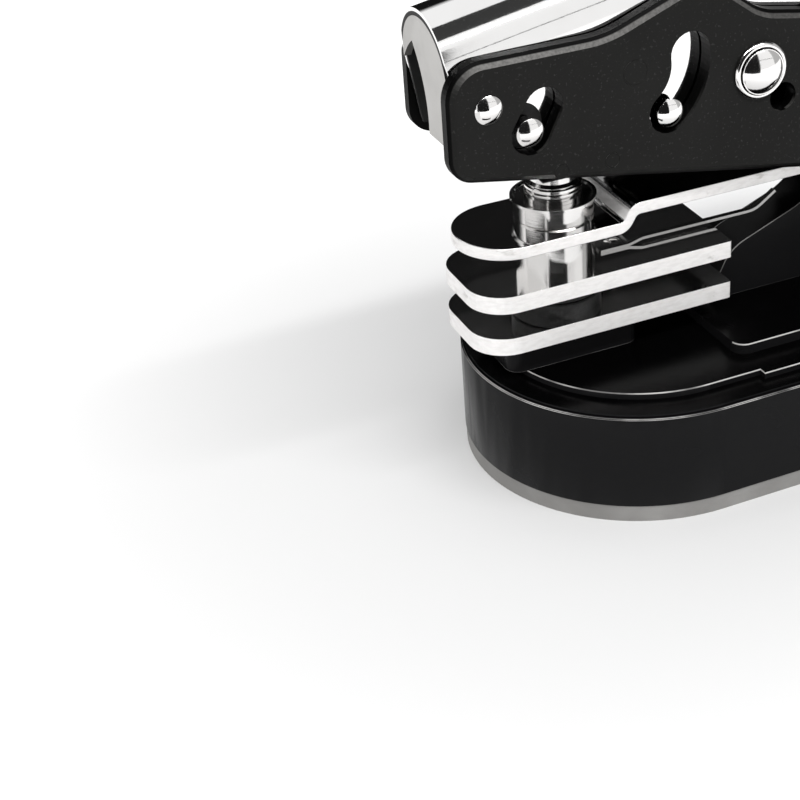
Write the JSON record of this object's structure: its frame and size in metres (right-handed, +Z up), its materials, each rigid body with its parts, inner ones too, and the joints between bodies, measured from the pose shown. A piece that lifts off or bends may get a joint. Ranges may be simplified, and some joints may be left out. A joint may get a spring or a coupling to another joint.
{
  "type": "seal embosser",
  "caption": "Desk seal embosser: hooded chrome lever over black side plates, plunger and paired die bars on a round-ended base.",
  "frame": {"origin": "on the underside of the sole, straight under the plunger's axis", "axes": "+X from the nose to the tail, +Z up, +Y to the far side of the picture"},
  "size_m": [0.1969, 0.0764, 0.1386],
  "materials": {
    "black_paint": "gloss",
    "black_plate": "satin",
    "grey_sole": "matte",
    "chrome": "polished",
    "pin_nickel": "polished",
    "screw_steel": "satin",
    "black_screw": "satin",
    "die_black": "satin",
    "cap_grey": "satin",
    "tail_black": "satin",
    "bush_brass": "satin"
  },
  "bodies": {
    "stand": {"base_casting": "black_paint", "sole_pad": "grey_sole", "sole_screws": "screw_steel", "column_casting": "black_paint", "foot_screws": "black_screw", "anvil_block": "black_paint", "anvil_dowels": "screw_steel", "lower_die_bar": "chrome", "lower_die": "die_black", "near_side_plate": "black_plate", "far_side_plate": "black_plate", "guide_block": "black_plate", "guide_rivets": "black_plate", "plate_bolts": "pin_nickel", "plate_nuts": "pin_nickel", "front_pivot_pin": "pin_nickel", "main_pivot_pin": "pin_nickel", "main_pivot_washers": "pin_nickel", "arm_shaft": "black_plate"},
    "handle": {"handle_shell": "chrome", "handle_nose_cap": "cap_grey", "handle_tail_cap": "tail_black", "drive_pin": "pin_nickel", "drive_pin_bushes": "tail_black"},
    "beam": {"press_beam": "black_plate", "beam_bush": "bush_brass"},
    "arms": {"return_arms": "black_plate", "arm_pin": "pin_nickel", "arm_spring": "screw_steel"},
    "plunger": {"plunger_screw": "pin_nickel", "plunger_cap": "screw_steel", "lift_spring": "screw_steel", "collar_nut": "chrome", "guide_yoke": "chrome", "plunger_foot": "chrome", "upper_die_bar": "chrome", "die_bar_leaf": "chrome", "leaf_rivet": "pin_nickel", "die_bar_screw": "screw_steel", "upper_die": "die_black"}
  },
  "joints": [
    {"name": "handle_hinge", "type": "hinge", "parent": "stand", "child": "handle", "pos_m": [-0.0202, 0, 0.089], "axis": [0, -1, 0], "range_deg": [0, 32]},
    {"name": "beam_hinge", "type": "hinge", "parent": "stand", "child": "beam", "pos_m": [0.0384, 0, 0.0851], "axis": [0, 1, 0], "range_deg": [0, 5.6]},
    {"name": "arm_hinge", "type": "hinge", "parent": "stand", "child": "arms", "pos_m": [0.0106, 0, 0.0902], "axis": [0, -1, 0], "range_deg": [0, 58.1]},
    {"name": "plunger_slide", "type": "slide", "parent": "stand", "child": "plunger", "axis": [0, 0, 1], "range_m": [0, 0.0038], "deforming": ["lift_spring"]}
  ],
  "couplings": [
    {"joint": "beam_hinge", "follows": "handle_hinge", "ratio": 0.1725},
    {"joint": "arm_hinge", "follows": "handle_hinge", "ratio": 1.8125},
    {"joint": "plunger_slide", "follows": "handle_hinge", "m_per_rad": 0.0066}
  ]
}
